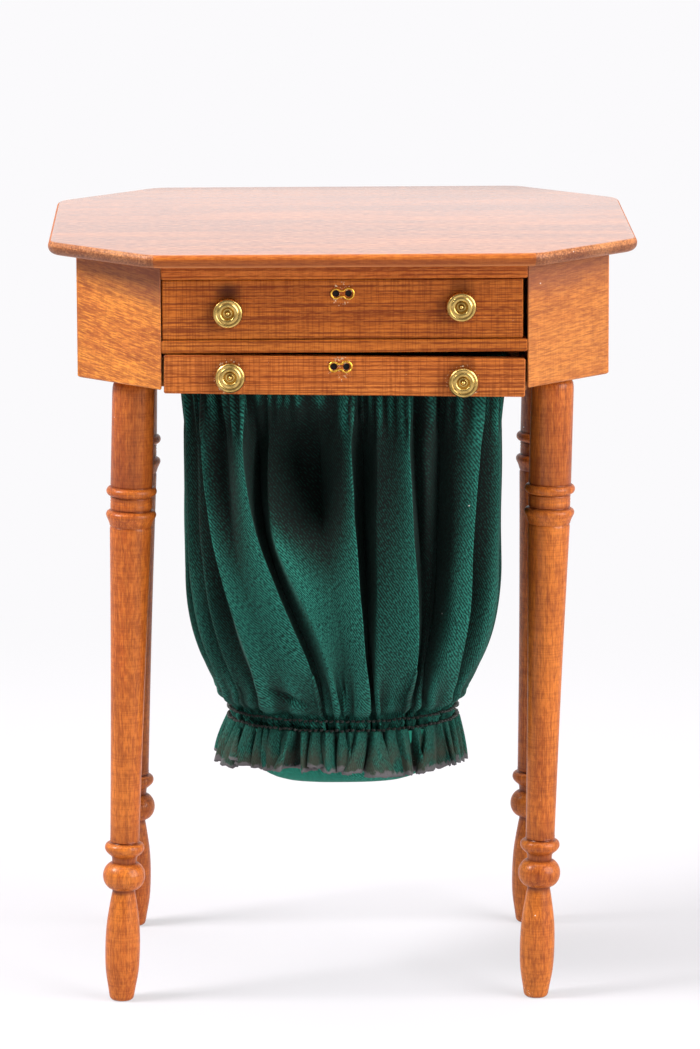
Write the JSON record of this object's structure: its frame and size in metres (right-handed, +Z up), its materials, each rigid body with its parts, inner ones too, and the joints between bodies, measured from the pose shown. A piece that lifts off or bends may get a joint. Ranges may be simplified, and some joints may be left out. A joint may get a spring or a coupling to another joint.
{
  "type": "miniature work table",
  "caption": "Doll's-house sewing work table: canted top on turned legs, with a drawer and a sliding frame that carries a gathered cloth bag.",
  "frame": {"origin": "on the floor, under the middle of the table top", "axes": "+Z up, the drawers pull out along -Y, +X to the right of someone facing the drawers"},
  "size_m": [0.0452, 0.0392, 0.06],
  "materials": {
    "oiled_cherry": "oiled and rubbed, satin",
    "turned_brass": "turned and polished",
    "green_twill": "fine twill with a faint sheen",
    "dark_thread": "twisted sewing thread"
  },
  "bodies": {
    "table": {"table_top": "oiled_cherry", "front_left_cant": "oiled_cherry", "front_right_cant": "oiled_cherry", "back_left_cant": "oiled_cherry", "back_right_cant": "oiled_cherry", "left_side": "oiled_cherry", "right_side": "oiled_cherry", "back_panel": "oiled_cherry", "top_rail": "oiled_cherry", "divider_rail": "oiled_cherry", "front_left_block": "oiled_cherry", "front_right_block": "oiled_cherry", "back_left_block": "oiled_cherry", "back_right_block": "oiled_cherry", "front_left_leg": "oiled_cherry", "front_right_leg": "oiled_cherry", "back_left_leg": "oiled_cherry", "back_right_leg": "oiled_cherry", "drawer_runner_left": "oiled_cherry", "drawer_runner_right": "oiled_cherry", "bag_runner_left": "oiled_cherry", "bag_runner_right": "oiled_cherry", "bag_guide_left": "oiled_cherry", "bag_guide_right": "oiled_cherry"},
    "drawer": {"drawer_front": "oiled_cherry", "drawer_left_side": "oiled_cherry", "drawer_right_side": "oiled_cherry", "drawer_back": "oiled_cherry", "drawer_bottom": "oiled_cherry", "drawer_knob_left": "turned_brass", "drawer_knob_right": "turned_brass", "drawer_keyhole_plate": "turned_brass"},
    "bag_drawer": {"bag_front": "oiled_cherry", "bag_frame_left": "oiled_cherry", "bag_frame_right": "oiled_cherry", "bag_frame_back": "oiled_cherry", "bag_knob_left": "turned_brass", "bag_knob_right": "turned_brass", "bag_keyhole_plate": "turned_brass", "bag_cloth": "green_twill", "bag_ruffle": "green_twill", "bag_base": "green_twill", "gathering_thread_upper": "dark_thread", "gathering_thread_lower": "dark_thread"}
  },
  "joints": [
    {"name": "drawer_slide", "type": "slide", "parent": "table", "child": "drawer", "axis": [0, -1, 0], "range_m": [0, 0.022]},
    {"name": "bag_slide", "type": "slide", "parent": "table", "child": "bag_drawer", "axis": [0, -1, 0], "range_m": [0, 0.02]}
  ]
}
